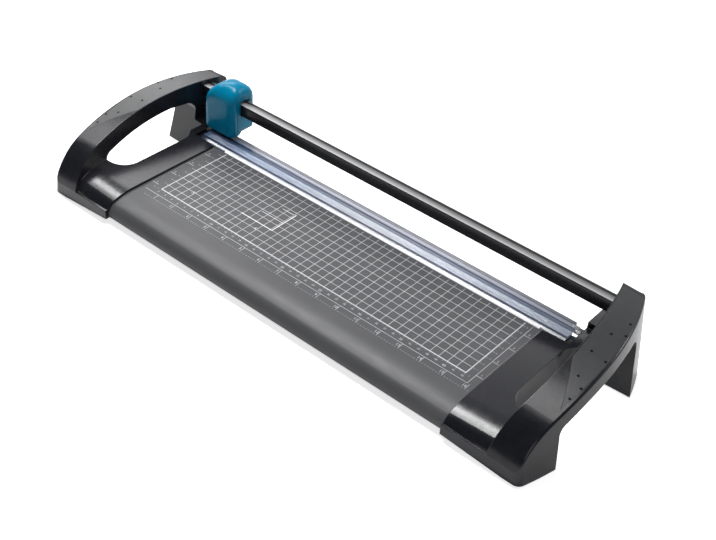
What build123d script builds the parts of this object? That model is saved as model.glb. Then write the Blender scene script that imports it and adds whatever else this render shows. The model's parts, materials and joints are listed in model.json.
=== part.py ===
from build123d import *
import os
from math import acos, asin, cos, radians, sin, sqrt, tan

# A rolling paper cutter: a printed bed between two moulded end caps, a clear
# hinged paper clamp, a cutting mat at the back edge and a guide rail that
# carries a sprung cutting head with a round blade.
#
# Everything is drawn in the frame of the bed: x along the bed from its middle,
# y from the front line of the printed grid towards the back, z up from the top
# of the plate. At the end the bed is tipped up at the back and set on the desk.
# All lengths are millimetres and all angles are degrees.

# Stance on the desk
bed_tilt = 3.3
plate_height = 28.3
foot_stand = 0.6

# Printed plate
plate_length = 440.0
plate_tuck = 8.0
plate_sheet = 1.5
plate_back = 118.4
plate_flat_front = -24.0
roll_radius = 70.0
roll_turn = 20.0
nose_radius = 14.0
nose_turn = 75.0
skirt_drop = 4.2

# Tray under the plate
tray_depth = 12.0
tray_wall = 2.2
tray_front = -40.0
tray_back = 108.0
tray_cross_ribs = 9
tray_long_ribs = 3
boss_radius = 4.0

# Beam and cutting mat along the back edge
beam_front = 112.0
beam_back = 132.4
beam_bottom = -12.0
beam_top = -1.2
beam_wall = 2.0
beam_overhang = 16.2
beam_screw_inset = 8.0
beam_seat = 4.0
mat_width = 8.8
mat_thickness = 2.0
mat_stand = 1.0
mat_groove_width = 1.2
mat_groove_depth = 0.9
stop_length = 6.5

# Clear paper clamp
clamp_front = 96.5
clamp_back = 118.3
clamp_overhang = 23.3
clamp_gap = 0.4
clamp_thickness = 3.4
clamp_spine = 4.6
clamp_spine_width = 5.6
clamp_lip = 0.6
clamp_lip_width = 4.5
clamp_rib_count = 4
clamp_rib_width = 1.2
clamp_rib_depth = 0.5
hinge_y = 115.5
hinge_z = 2.7
hinge_pin_radius = 1.2
hinge_pin_length = 9.0
hinge_bracket_length = 5.5
hinge_bracket_depth = 7.6
hinge_bracket_height = 5.0

# End caps: sleeve beside the plate
sleeve_proud = 2.5
sleeve_rise = 0.06
sleeve_back = 127.5
sleeve_edge = 30.4
sleeve_bottom = -19.4
lip_front = -60.5
lip_top = -9.1
seam_gap = 0.2
cap_wall = 3.0
ledge_reach = 14.0
ledge_bottom = -17.2

# End caps: carrying arch, front foot and back leg
arch_reach = 58.6
arch_inner_apex = 35.0
arch_inner_radius = 435.0
arch_width = 31.6
arch_outer_apex = 48.0
arch_outer_front_radius = 372.0
arch_outer_back_radius = 252.0
arch_flare = 0.14
arch_flare_height = 45.0
arch_fall = 0.05
arch_edge_round = 2.5
arch_back_round = 5.0
crown_z = 51.8
crown_y = 115.0
crown_radius = 425.0
brow_y = -22.0
cap_back = 157.0
cap_back_lean = 8.5
cap_corner = 8.0

# Hand hole between sleeve and arch, and the window under the arch
slot_front = -10.0
slot_front_round = 22.0
slot_back = 114.0
slot_waist = 86.0
slot_waist_round = 20.0
slot_wall = 2.4
slot_wall_stand = 2.0
window_foot_inner = -8.4
window_foot_outer = -15.8
window_foot_lean = 4.0
window_sill_inner = 2.0
window_sill_outer = 6.0
window_brow_inner = 13.0
window_brow_outer = 18.0
window_top_inner = 30.2
window_top_outer = 33.6
window_crown_y = 84.0
window_back_y = 103.0
leg_front_inner = 117.0
leg_front_outer = 118.8
leg_front_lean = 12.0
leg_brow = 18.0

# Bridge from the sleeve to the back leg
bridge_inner = 29.3
bridge_top = 11.2

# Grip pads let into the arches
pad_thickness = 1.2
pad_margin = 1.6
pad_front_inner = 40.0
pad_front_outer = -10.0
pad_back = 149.0
nub_radius = 1.25
nub_height = 0.5

# Pockets, soles and rubber feet
foot_pocket_inset = 5.8
foot_pocket_width = 25.0
foot_pocket_front = -50.0
foot_pocket_back = -22.0
foot_pocket_top = 4.0
leg_pocket_inset = 7.3
leg_pocket_width = 18.5
leg_pocket_front = 122.5
leg_pocket_back = 149.0
leg_pocket_top = 25.0
sole_thickness = 2.6
foot_radius = 7.5
foot_height = 2.4

# Guide rail
rail_y = 134.2
rail_top = 46.4
rail_width = 11.8
rail_height = 15.4
rail_corner = 0.8
rail_wall = 2.0
rail_groove_width = 3.2
rail_groove_depth = 0.9
rail_groove_offset = 2.4
rail_reach = 3.2
socket_wall = 2.0
socket_inset = 8.8
socket_cap = 2.0

# Cutting head
head_park = 12.5
head_length = 45.5
head_front = 113.5
head_back = 151.5
head_wall = 2.4
head_bottom = 11.4
head_skirt = 7.6
head_skirt_back = 125.4
head_corner = 8.0
head_left_round = 30.0
head_right_round = 12.0
head_front_round = 18.0
head_top = 65.8
head_layers = 7
side_plate = 2.0
side_plate_margin = 1.4
head_travel = 2.2
travel_room = 0.5
park_room = 0.8

# Carriage inside the head
carriage_length = 33.0
carriage_offset = 2.2
carriage_side_wall = 1.6
carriage_floor = 1.8
carriage_roof = 2.2
bush_length = 8.0
bush_wall = 1.2
rail_clearance = 0.1
spring_radius = 2.6
spring_wire = 0.6
spring_turns = 5
spring_spacing = 14.0
spring_offset = 4.5
spring_room = 8.6
peg_radius = 1.7
peg_height = 4.0

# Blade and its holder
blade_y = 127.2
blade_radius = 11.5
blade_thickness = 0.5
blade_bevel = 1.2
blade_dip = 0.5
hub_radius = 5.0
hub_length = 3.6
axle_radius = 1.5
running_gap = 0.05
holder_front = 121.7
holder_back = 125.0
holder_low = 9.0
holder_top = 33.0
guard_half_width = 11.5
guard_low = 2.6
guard_wall = 1.3
guard_back = 129.2
cover_thickness = 1.2
blade_room = 0.7
cover_screw_radius = 0.9
cover_screw_head = 1.7

# Screws
screw_radius = 1.5
screw_head_radius = 3.0
screw_head_height = 1.8
screw_past = 2.5
driver_radius = 1.1
driver_depth = 1.0
boss_floor = 3.0
screw_gap = 0.1

# Worked out from the sizes above
half_bed = plate_length / 2
seam = half_bed + seam_gap
cap_inner_wall = seam + cap_wall
below = -80.0
above = 80.0
arch_inner = seam + arch_reach
arch_outer = arch_inner + arch_width
foot_pocket_inner = arch_inner - foot_pocket_inset
foot_pocket_outer = foot_pocket_inner + foot_pocket_width
leg_pocket_inner = arch_inner - leg_pocket_inset
leg_pocket_outer = leg_pocket_inner + leg_pocket_width
rail_end = arch_inner + rail_reach
socket_inner = arch_inner - socket_inset
pad_outer_margin = arch_edge_round + 0.4
nub_inset = 1.2 * nub_radius
head_x = -half_bed - head_park
beyond = arch_outer + 2 * arch_width
rail_bottom = rail_top - rail_height
rail_front = rail_y - rail_width / 2
rail_back = rail_y + rail_width / 2
mat_top = beam_top + mat_stand
blade_z = mat_top - blade_dip + head_travel + blade_radius
channel_end = seam + bridge_inner


def arc_x(y, reach, apex, radius):
    """Distance from the middle of a long arc that bulges to reach at apex."""
    return reach - radius + sqrt(radius**2 - (y - apex) ** 2)


def arch_inner_x(y):
    return arc_x(y, arch_inner, arch_inner_apex, arch_inner_radius)


def arch_outer_x(y, z):
    radius = arch_outer_front_radius if y < arch_outer_apex else arch_outer_back_radius
    flare = arch_flare * (arch_flare_height - z)
    return arc_x(y, arch_outer, arch_outer_apex, radius) + flare


def crown_height(y):
    """Top of the arch at its inner edge: one long arc over the crown."""
    return crown_z - crown_radius + sqrt(crown_radius**2 - (y - crown_y) ** 2)


def box(x0, x1, y0, y1, z0, z1):
    middle = ((x0 + x1) / 2, (y0 + y1) / 2, (z0 + z1) / 2)
    return Pos(*middle) * Box(x1 - x0, y1 - y0, z1 - z0)


def side_face(edges, x):
    """A face drawn in y and z, standing at x."""
    return Plane.YZ.offset(x) * make_face(edges)


def along(face, length, rise=0.0):
    """Carry a side face along x, climbing by rise for each unit of x."""
    direction = Vector(1, 0, rise)
    return extrude(face, amount=length * direction.length, dir=direction.normalized())


def rod_x(x0, x1, y, z, radius):
    return Pos(x0, y, z) * Rot(0, 90, 0) * extrude(Circle(radius), x1 - x0)


def rod_y(y0, y1, x, z, radius):
    return Pos(x, y0, z) * Rot(-90, 0, 0) * extrude(Circle(radius), y1 - y0)


def rod_z(z0, z1, x, y, radius):
    return Pos(x, y, z0) * extrude(Circle(radius), z1 - z0)


def on_desk(shape):
    """Tip the bed up at the back and lift it to its height over the desk."""
    return Pos(0, 0, plate_height * cos(radians(bed_tilt))) * Rot(bed_tilt, 0, 0) * shape


def off_desk(shape):
    """From heights over the desk back to the frame of the bed."""
    return Rot(-bed_tilt, 0, 0) * Pos(0, 0, -plate_height * cos(radians(bed_tilt))) * shape


def desk_layer(low, high):
    """All the space between two heights over the desk."""
    return off_desk(box(-beyond, beyond, -beyond, beyond, low, high))


def desk_xy(x, y):
    """Where a point just over the desk, given in bed x and y, lies on the desk."""
    return x, y * cos(radians(bed_tilt)) + plate_height * sin(radians(bed_tilt))


def both_sides(shape):
    return shape + mirror(shape, about=Plane.YZ)


# Plate and what is under it


def roll_points(lift):
    """Points along the rolled front of the plate, raised by lift off its surface.

    Two arcs follow the flat: a large one through roll_turn and the nose
    through the rest of nose_turn. Each has its middle point and its end.
    """
    first = roll_radius + lift
    second = nose_radius + lift
    knee_y = plate_flat_front - first * sin(radians(roll_turn))
    knee_z = lift - first * (1 - cos(radians(roll_turn)))
    points = [(plate_flat_front, lift)]
    for turn in (roll_turn / 2, roll_turn):
        drop = first * (1 - cos(radians(turn)))
        points.append((plate_flat_front - first * sin(radians(turn)), lift - drop))
    for turn in ((roll_turn + nose_turn) / 2, nose_turn):
        run = second * (sin(radians(turn)) - sin(radians(roll_turn)))
        drop = second * (cos(radians(roll_turn)) - cos(radians(turn)))
        points.append((knee_y - run, knee_z - drop))
    return points


def roll_edges(lift, skirt_bottom):
    flat, mid_1, knee, mid_2, nose = roll_points(lift)
    edges = ThreePointArc(flat, mid_1, knee)
    edges += ThreePointArc(knee, mid_2, nose)
    edges += Line(nose, (nose[0], skirt_bottom))
    return edges


def sheet_section(outside, inside, back):
    """Section of the rolled sheet between two surfaces at the given lifts."""
    skirt_bottom = roll_points(0)[-1][1] - skirt_drop
    outer_nose = roll_points(outside)[-1]
    inner_nose = roll_points(inside)[-1]
    edges = Line((back, outside), (plate_flat_front, outside))
    edges += roll_edges(outside, skirt_bottom)
    edges += Line((outer_nose[0], skirt_bottom), (inner_nose[0], skirt_bottom))
    edges += roll_edges(inside, skirt_bottom)
    edges += Line((plate_flat_front, inside), (back, inside))
    edges += Line((back, inside), (back, outside))
    return edges


def plate():
    length = 2 * (half_bed + plate_tuck)
    section = side_face(sheet_section(0, -plate_sheet, plate_back), -length / 2)
    return along(section, length)


def tray():
    """Moulded frame of ribs that fills the space under the plate."""
    tray_bottom = -plate_sheet - tray_depth
    back = beam_front - 0.4
    flat_front = (plate_flat_front, -plate_sheet)
    inner = roll_points(-plate_sheet)
    edges = Line((back, -plate_sheet), flat_front)
    edges += ThreePointArc(flat_front, inner[1], inner[2])
    edges += Line(inner[2], (inner[2][0], tray_bottom))
    edges += Line((inner[2][0], tray_bottom), (back, tray_bottom))
    edges += Line((back, tray_bottom), (back, -plate_sheet))
    room = along(side_face(edges, -half_bed), 2 * half_bed)
    front = inner[2][0]
    wall = tray_wall
    ribs = box(-half_bed, half_bed, front, front + wall, below, 0)
    ribs += box(-half_bed, half_bed, back - wall, back, below, 0)
    for i in range(tray_long_ribs):
        y = front + (i + 1) * (back - front) / (tray_long_ribs + 1)
        ribs += box(-half_bed, half_bed, y - wall / 2, y + wall / 2, below, 0)
    for i in range(tray_cross_ribs):
        x = -half_bed + wall / 2 + i * (2 * half_bed - wall) / (tray_cross_ribs - 1)
        ribs += box(x - wall / 2, x + wall / 2, front, back, below, 0)
    for x, y in base_screw_places():
        ribs += rod_z(below, 0, x, y, boss_radius)
        end = half_bed if x > 0 else -half_bed
        ribs += box(min(x, end), max(x, end), y - wall / 2, y + wall / 2, below, 0)
    body = ribs & room
    for x, y in base_screw_places():
        body -= rod_z(below, -plate_sheet - boss_floor, x, y, screw_radius + running_gap)
    return body


def base_screw_places():
    """Four screws on each side hold the tray down on the ledges of the caps."""
    x = half_bed - ledge_reach / 2
    first = plate_flat_front + 6.0
    step = (tray_back - 10.0 - first) / 3
    return [(side * x, first + i * step) for side in (-1, 1) for i in range(4)]


def screw_up(head_seat, tip, x, y):
    """A pan-head screw driven upwards, its head under head_seat."""
    head = rod_z(head_seat - screw_head_height, head_seat, x, y, screw_head_radius)
    shank = rod_z(head_seat, tip, x, y, screw_radius)
    low = head_seat - screw_head_height
    driver = rod_z(low, low + driver_depth, x, y, driver_radius)
    return head + shank - driver


def base_screws():
    tip = -plate_sheet - boss_floor - 1.0
    return [screw_up(ledge_bottom, tip, x, y) for x, y in base_screw_places()]


# Beam, mat and clamp


def mat_y():
    return blade_y - mat_width / 2, blade_y + mat_width / 2


def beam():
    """Extruded box beam with an open groove for the mat, hung under the plate."""
    half = half_bed + beam_overhang
    front, back = mat_y()
    seat = mat_top - mat_thickness
    body = box(-half, half, beam_front, beam_back, beam_bottom, -plate_sheet)
    body += box(-half, half, plate_back + 0.1, beam_back, -plate_sheet, beam_top)
    body -= box(-half, half, front, back, seat, 0)
    hollow_top = seat - beam_wall
    inner_front = beam_front + beam_wall
    inner_back = beam_back - beam_wall
    return body - box(-half, half, inner_front, inner_back, beam_bottom + beam_wall, hollow_top)


def mat():
    """Cutting mat, a strip with a fine groove under the blade."""
    half = half_bed + beam_overhang
    front, back = mat_y()
    body = box(-half, half, front, back, mat_top - mat_thickness, mat_top)
    groove = mat_groove_width / 2
    return body - box(-half, half, blade_y - groove, blade_y + groove, mat_top - mat_groove_depth, mat_top)


def mat_stops():
    """Clear blocks on the sleeves that close the groove beyond both ends of the mat."""
    start = half_bed + beam_overhang + 0.2
    front = plate_back + 0.4
    return both_sides(box(start, start + stop_length, front, sleeve_back - 0.1, beam_top, mat_top))


def clamp():
    """Clear bar with a thin front lip, fine long grooves and a thicker spine."""
    half = half_bed + clamp_overhang
    low = clamp_gap
    top = low + clamp_thickness
    spine_front = clamp_back - clamp_spine_width
    bar_front = clamp_front + clamp_lip_width
    edges = Polyline(
        (clamp_front, low),
        (clamp_front, low + clamp_lip),
        (bar_front, top - 1.2),
        (bar_front + 1.0, top),
        (spine_front - 1.0, top),
        (spine_front, low + clamp_spine),
        (clamp_back, low + clamp_spine),
        (clamp_back, low),
        (clamp_front, low),
    )
    body = along(side_face(edges, -half), 2 * half)
    first = bar_front + 2.4
    step = (spine_front - 2.4 - first - clamp_rib_width) / (clamp_rib_count - 1)
    for i in range(clamp_rib_count):
        y = first + i * step
        body -= box(-half, half, y, y + clamp_rib_width, top - clamp_rib_depth, top)
    hole_end = hinge_pin_length - hinge_bracket_length + 0.5
    bore = rod_x(half - hole_end, half, hinge_y, hinge_z, hinge_pin_radius + running_gap)
    return body - both_sides(bore)


def hinge_pins():
    start = half_bed + clamp_overhang - (hinge_pin_length - hinge_bracket_length)
    pin = rod_x(start, start + hinge_pin_length - 0.3, hinge_y, hinge_z, hinge_pin_radius)
    return both_sides(pin)


def hinge_bracket():
    """Small block on the sleeve that holds the outer half of a hinge pin."""
    start = half_bed + clamp_overhang + 0.2
    end = channel_end - 0.2
    back = clamp_back + 0.4
    body = box(start, end, back - hinge_bracket_depth, back, 0, hinge_bracket_height)
    top = body.edges().filter_by(Axis.X).group_by(Axis.Z)[-1]
    body = fillet(top, 1.5)
    return body - rod_x(start, end, hinge_y, hinge_z, hinge_pin_radius)


# End caps, drawn on the right and mirrored


def arch_plan(z):
    """Outline of foot, arch and leg seen from above, at height z."""
    front = lip_front
    back = cap_back
    apex = arch_outer_apex
    mid_front = (front + apex) / 2
    mid_back = (apex + back) / 2
    mid = (front + back) / 2
    edges = Line((arch_inner_x(front), front), (arch_outer_x(front, z), front))
    edges += ThreePointArc(
        (arch_outer_x(front, z), front),
        (arch_outer_x(mid_front, z), mid_front),
        (arch_outer_x(apex, z), apex),
    )
    edges += ThreePointArc(
        (arch_outer_x(apex, z), apex),
        (arch_outer_x(mid_back, z), mid_back),
        (arch_outer_x(back, z), back),
    )
    edges += Line((arch_outer_x(back, z), back), (arch_inner_x(back), back))
    edges += ThreePointArc(
        (arch_inner_x(back), back),
        (arch_inner_x(mid), mid),
        (arch_inner_x(front), front),
    )
    face = make_face(edges)
    outer = face.vertices().sort_by(Axis.X)
    ends = outer.filter_by(lambda v: v.Y < front + 1 or v.Y > back - 1)
    face = fillet(ends[-2:], cap_corner)
    return Pos(0, 0, z) * face


def arch_side():
    """The arch, foot and leg seen from the side."""
    slope = asin((crown_y - brow_y) / crown_radius)
    brow = (brow_y, crown_height(brow_y))
    drop = brow[1] - lip_top
    chord = sqrt((brow_y - lip_front) ** 2 + drop**2)
    chord_turn = acos((brow_y - lip_front) / chord)
    bulge_turn = (slope + chord_turn) / 2
    bulge = chord / (2 * cos((chord_turn - slope) / 2))
    middle = (brow_y - bulge * cos(bulge_turn), brow[1] - bulge * sin(bulge_turn))
    back_low = cap_back - cap_back_lean
    back_top = (cap_back, crown_height(cap_back))
    edges = Line((lip_front, below), (lip_front, lip_top))
    edges += ThreePointArc((lip_front, lip_top), middle, brow)
    edges += ThreePointArc(brow, (crown_y, crown_z), back_top)
    edges += Line(back_top, (back_low, below))
    edges += Line((back_low, below), (lip_front, below))
    return edges


def carried_out(edges):
    """A side view carried outwards over the arch, falling towards the outside."""
    face = side_face(edges, channel_end)
    face = Pos(0, 0, arch_fall * (arch_inner - channel_end)) * face
    return along(face, beyond - channel_end, -arch_fall)


def crown_layer(low, high):
    """Slab between two heights over the crown line, a little longer than the grip pad."""
    ends = (pad_front_outer - pad_margin, pad_back + pad_margin)
    middle = sum(ends) / 2

    def over(y, lift):
        return y, crown_height(y) + lift

    edges = ThreePointArc(over(ends[0], high), over(middle, high), over(ends[1], high))
    edges += Line(over(ends[1], high), over(ends[1], low))
    edges += ThreePointArc(over(ends[1], low), over(middle, low), over(ends[0], low))
    edges += Line(over(ends[0], low), over(ends[0], high))
    return carried_out(edges)


def arch_block():
    """Foot, arch and leg in one, with the outer edge and the back of the top rounded."""
    column = loft([arch_plan(below), arch_plan(above)], ruled=True)
    body = column & carried_out(arch_side())
    outer = body.edges().filter_by(lambda e: e.center().X > arch_inner + 0.6 * arch_width)
    rim = outer.filter_by(lambda e: e.bounding_box().size.Y > 2 * cap_corner and e.center().Z > lip_top)
    body = fillet(rim, arch_edge_round)
    level = body.edges().filter_by(lambda e: e.bounding_box().size.X > cap_corner / 2)
    high = level.filter_by(lambda e: e.center().Y > cap_back - 1 and e.center().Z > rail_top)
    return fillet(high, arch_back_round)


def sleeve_block():
    """Raised surround of the plate that runs over the rolled front to the lip."""
    outer = roll_points(sleeve_proud)
    nose = outer[-1]
    cut = [p for p in (outer[3], nose)]
    edges = Line((sleeve_back, sleeve_proud), (plate_flat_front, sleeve_proud))
    edges += ThreePointArc(outer[0], outer[1], outer[2])
    edges += ThreePointArc(outer[2], cut[0], cut[1])
    edges += Line(nose, (nose[0], below))
    edges += Line((nose[0], below), (sleeve_back, below))
    edges += Line((sleeve_back, below), (sleeve_back, sleeve_proud))
    lip = box(0, arch_inner - seam, lip_front, nose[0] + 6.0, below, lip_top)
    lip = Pos(seam, 0, 0) * lip
    length = arch_inner - seam
    return along(side_face(edges, seam), length, sleeve_rise) + lip


def slot_plan():
    """Hand hole seen from above, between the sleeve's edge and the arch."""
    edge = seam + sleeve_edge
    tip = arch_inner_x(slot_front)
    back = arch_inner_x(slot_back)
    mid = (slot_front + slot_back) / 2
    edges = Polyline((back, slot_back), (edge, slot_waist), (edge, slot_front), (tip, slot_front))
    edges += ThreePointArc((tip, slot_front), (arch_inner_x(mid), mid), (back, slot_back))
    face = make_face(edges)
    for y, radius in ((slot_waist, slot_waist_round), (slot_front, slot_front_round)):
        corner = face.vertices().sort_by_distance((edge, y, 0))[0]
        face = fillet(corner, radius)
    return face


def slot_rim():
    """Thin wall that hangs from the sleeve round its side of the hand hole."""
    ring = extrude(offset(slot_plan(), slot_wall), above - below)
    edge = seam + sleeve_edge
    reach = box(edge - slot_wall, edge + slot_front_round, slot_front - slot_wall, slot_waist, below, ledge_bottom)
    return (Pos(0, 0, below) * ring) & reach & desk_layer(slot_wall_stand, above)


def window_face(x, foot, sill, brow, top, leg):
    """Opening under the arch, seen from the side, as it is at distance x.

    foot and leg are the y of its two upright edges, sill the height at which the
    foot starts to curve, brow the end of that curve and top the highest point.
    """
    shoulder = (foot + 9.0, brow)
    crown = (window_crown_y, top)
    back = (window_back_y, top - 0.8)
    leg_top = (leg, leg_brow)
    edges = Line((foot - window_foot_lean, below), (foot, sill))
    edges += ThreePointArc((foot, sill), (foot + 2.4, (sill + 2 * brow) / 3 + 0.6), shoulder)
    middle = ((shoulder[0] + crown[0]) / 2, (brow + top) / 2 + 2.6)
    edges += ThreePointArc(shoulder, middle, crown)
    edges += Line(crown, back)
    edges += ThreePointArc(back, (leg - 3.6, (top + leg_brow) / 2 + 2.0), leg_top)
    edges += Line(leg_top, (leg - leg_front_lean, below))
    edges += Line((leg - leg_front_lean, below), (foot - window_foot_lean, below))
    return side_face(edges, x)


def window():
    """The opening carried from the inner to the outer side of the arch.

    Its size changes evenly between the two, and it runs past both.
    """
    near, far = arch_inner - 6.0, arch_outer
    inner, outer = -1.5, 2.5

    def at(share, a, b):
        return a + share * (b - a)

    faces = []
    for share in (inner / 4, 1 + outer / 4):
        x = at(share, near, far)
        foot = at(share, window_foot_inner, window_foot_outer)
        sill = at(share, window_sill_inner, window_sill_outer)
        brow = at(share, window_brow_inner, window_brow_outer)
        top = at(share, window_top_inner, window_top_outer)
        leg = at(share, leg_front_inner, leg_front_outer)
        faces.append(window_face(x, foot, sill, brow, top, leg))
    return loft(faces, ruled=True)


def pad_region(z0, z1):
    """Column over the part of the arch that carries the grip pad."""
    back_in = arch_inner_x(pad_back) + pad_margin
    edge = pad_outer_margin
    back_out = arch_outer_x(pad_back, arch_flare_height) - edge
    apex = arch_outer_apex
    inner_mid = (pad_front_inner + pad_back) / 2
    outer_mid = (apex + pad_back) / 2
    front_mid = (pad_front_outer + apex) / 2
    level = arch_flare_height

    def outer(y):
        return arch_outer_x(y, level) - edge

    def inner(y):
        return arch_inner_x(y) + pad_margin

    edges = Line((back_out, pad_back), (back_in, pad_back))
    edges += ThreePointArc(
        (back_in, pad_back), (inner(inner_mid), inner_mid), (inner(pad_front_inner), pad_front_inner)
    )
    waist_x = (inner(pad_front_inner) + outer(pad_front_outer)) / 2 + 1.5
    waist_y = (pad_front_inner + pad_front_outer) / 2 - 1.0
    edges += ThreePointArc(
        (inner(pad_front_inner), pad_front_inner),
        (waist_x, waist_y),
        (outer(pad_front_outer), pad_front_outer),
    )
    edges += ThreePointArc(
        (outer(pad_front_outer), pad_front_outer), (outer(front_mid), front_mid), (outer(apex), apex)
    )
    edges += ThreePointArc((outer(apex), apex), (outer(outer_mid), outer_mid), (back_out, pad_back))
    return Pos(0, 0, z0) * extrude(make_face(edges), z1 - z0)


def pad_places():
    """Middles of the eight nubs: fractions across and along the pad."""
    spots = [
        (0.98, 0.07),
        (1.00, 0.157),
        (0.58, 0.215),
        (0.97, 0.385),
        (0.33, 0.40),
        (0.51, 0.578),
        (1.00, 0.62),
        (0.93, 0.72),
    ]
    places = []
    for across, down in spots:
        y = pad_front_outer + pad_margin + down * (pad_back - pad_front_outer)
        low = arch_inner_x(y) + pad_margin + nub_inset
        high = arch_outer_x(y, arch_flare_height) - pad_outer_margin - nub_inset
        x = low + across * (high - low)
        places.append((x, y, crown_height(y) - arch_fall * (x - arch_inner)))
    return places


def nub():
    """Low round button: a short stem under a shallow dome, its rim at height 0."""
    foot = -0.6 * pad_thickness
    dome = (nub_radius**2 + nub_height**2) / (2 * nub_height)
    half_turn = asin(nub_radius / dome) / 2
    shoulder = (dome * sin(half_turn), nub_height - dome * (1 - cos(half_turn)))
    edges = Line((0, foot), (nub_radius, foot))
    edges += Line((nub_radius, foot), (nub_radius, 0))
    edges += ThreePointArc((nub_radius, 0), shoulder, (0, nub_height))
    edges += Line((0, nub_height), (0, foot))
    return revolve(Plane.XZ * make_face(edges), Axis.Z)


def grip_pad():
    """Soft inlay flush with the arch, with low round nubs."""
    body = crown_layer(-pad_thickness, 0) & pad_region(0, above)
    for place in pad_places():
        body += Pos(*place) * nub()
    return body


def rail_block(grow, x0, x1):
    """The space of the rail, grown by grow on all four sides."""
    return box(x0, x1, rail_front - grow, rail_back + grow, rail_bottom - grow, rail_top + grow)


def floor_wedge():
    """What is cut away under the sleeve, up to the slanted edge of the lip."""
    start = half_bed - 2 * ledge_reach
    outer = arch_inner + 6.0
    low = sleeve_bottom - 4.6
    face = make_face(
        Polyline(
            (start, below),
            (start, sleeve_bottom),
            (seam, sleeve_bottom),
            (outer, low),
            (outer, below),
            (start, below),
        )
    )
    front = Pos(0, slot_back, 0) * extrude(Plane.XZ * face, slot_back + beyond)
    back = box(start, arch_inner_x(cap_back), slot_back, beyond, below, sleeve_bottom)
    return front + back


def cap():
    body = arch_block() + sleeve_block()
    body += box(channel_end, leg_pocket_inner, sleeve_back - 1, cap_back - 4, below, bridge_top)
    slot = Pos(0, 0, below) * extrude(slot_plan(), above - below)
    body -= slot
    body -= window()
    body -= floor_wedge()
    body += slot_rim() - slot
    body -= desk_layer(below, foot_stand)

    # Seats for the plate, the clamp, the mat and the beam
    tuck = seam + plate_tuck
    body -= along(side_face(sheet_section(0.1, -plate_sheet - 0.1, plate_back + 0.1), seam - 1), tuck - seam + 1)
    body -= box(seam - 1, channel_end, clamp_front - 0.8, clamp_back + 0.8, 0, above)
    body -= box(seam - 1, channel_end, plate_back + 0.1, sleeve_back + 1, beam_top, above)
    beam_end = half_bed + beam_overhang + 0.2
    body -= box(seam - 1, beam_end, beam_front - 0.2, beam_back + 0.2, beam_bottom, -plate_sheet)
    body -= box(seam - 1, beam_end, plate_back + 0.1, beam_back + 0.2, -plate_sheet - 1, above)

    # Hollow under the sleeve, and the pockets of foot and leg
    body -= box(
        cap_inner_wall,
        seam + sleeve_edge - cap_wall - 1,
        plate_flat_front - 14,
        tray_back - 2,
        below,
        -plate_sheet - cap_wall,
    )
    body -= foot_pocket()
    body -= leg_pocket()

    # Rail hole and the seat of its socket
    body -= rail_block(0.3, arch_inner_x(cap_back) - 10, rail_end + socket_cap + 0.2)
    body -= rail_block(socket_wall, socket_inner, rail_end + socket_cap + 0.2)
    body -= box(
        socket_inner,
        rail_end + socket_cap + 0.2,
        rail_front - socket_wall,
        rail_back + socket_wall,
        leg_pocket_top - 1,
        rail_bottom,
    )

    # Ledge that carries the end of the tray
    tray_bottom = -plate_sheet - tray_depth
    ledge = box(
        half_bed - ledge_reach, seam + 1, plate_flat_front - 4, tray_back - 4, ledge_bottom, tray_bottom
    )
    body += ledge
    for x, y in base_screw_places()[4:]:
        body -= rod_z(below, above, x, y, screw_radius + screw_gap) & ledge
    x, y = beam_screw_place()
    body -= rod_z(below, beam_bottom - beam_seat, x, y, screw_head_radius + 0.3)
    body -= rod_z(below, beam_bottom + 1, x, y, screw_radius + screw_gap)
    return body - grip_seat()


def grip_seat():
    """What the grip pad's seat takes away, from its floor upwards."""
    return crown_layer(-pad_thickness, above) & pad_region(0, above)


def foot_pocket():
    return box(
        foot_pocket_inner,
        foot_pocket_outer,
        foot_pocket_front,
        foot_pocket_back,
        below,
        foot_pocket_top,
    )


def leg_pocket():
    return box(
        leg_pocket_inner,
        leg_pocket_outer,
        leg_pocket_front,
        leg_pocket_back,
        below,
        leg_pocket_top,
    )


def foot_places():
    """Desk positions of the two rubber feet of one cap, in the middle of their pockets."""
    front_x = (foot_pocket_inner + foot_pocket_outer) / 2
    front_y = (foot_pocket_front + foot_pocket_back) / 2
    back_x = (leg_pocket_inner + leg_pocket_outer) / 2
    back_y = (leg_pocket_front + leg_pocket_back) / 2
    return [desk_xy(front_x, front_y), desk_xy(back_x, back_y)]


def rubber_feet():
    feet = []
    for x, y in foot_places():
        foot = rod_z(0, foot_height, x, y, foot_radius)
        foot = chamfer(foot.edges().group_by(Axis.Z)[0], 0.5)
        for side in (foot, mirror(foot, about=Plane.YZ)):
            feet.append(off_desk(side))
    return feet


def sole(pocket, place):
    """Plate that closes a pocket from below and holds a rubber foot."""
    body = pocket() & desk_layer(foot_stand, foot_stand + sole_thickness)
    seat = rod_z(0, foot_height, place[0], place[1], foot_radius + 0.1)
    return body - off_desk(seat)


def soles():
    """Two soles for each cap: under the foot and under the leg."""
    parts = []
    for pocket, place in zip((foot_pocket, leg_pocket), foot_places()):
        right = sole(pocket, place)
        parts += [right, mirror(right, about=Plane.YZ)]
    return parts


# Rail, its sockets and screws


def rail():
    """Box rail with a shallow groove along its top."""
    section = RectangleRounded(rail_width, rail_height, rail_corner)
    section -= Rectangle(rail_width - 2 * rail_wall, rail_height - 2 * rail_wall)
    groove = Pos(rail_groove_offset, rail_height / 2 - rail_groove_depth / 2)
    section -= groove * Rectangle(rail_groove_width, rail_groove_depth)
    middle = (rail_y, rail_top - rail_height / 2)
    face = Plane.YZ.offset(-rail_end) * Pos(*middle) * section
    body = extrude(face, 2 * rail_end)
    x, y = rail_screw_place()
    hole = rod_z(rail_bottom - 1, rail_bottom + rail_wall + 1, x, y, screw_radius + running_gap)
    return body - both_sides(hole)


def rail_screw_place():
    return (socket_inner + rail_end) / 2 + 1.0, rail_y


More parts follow.
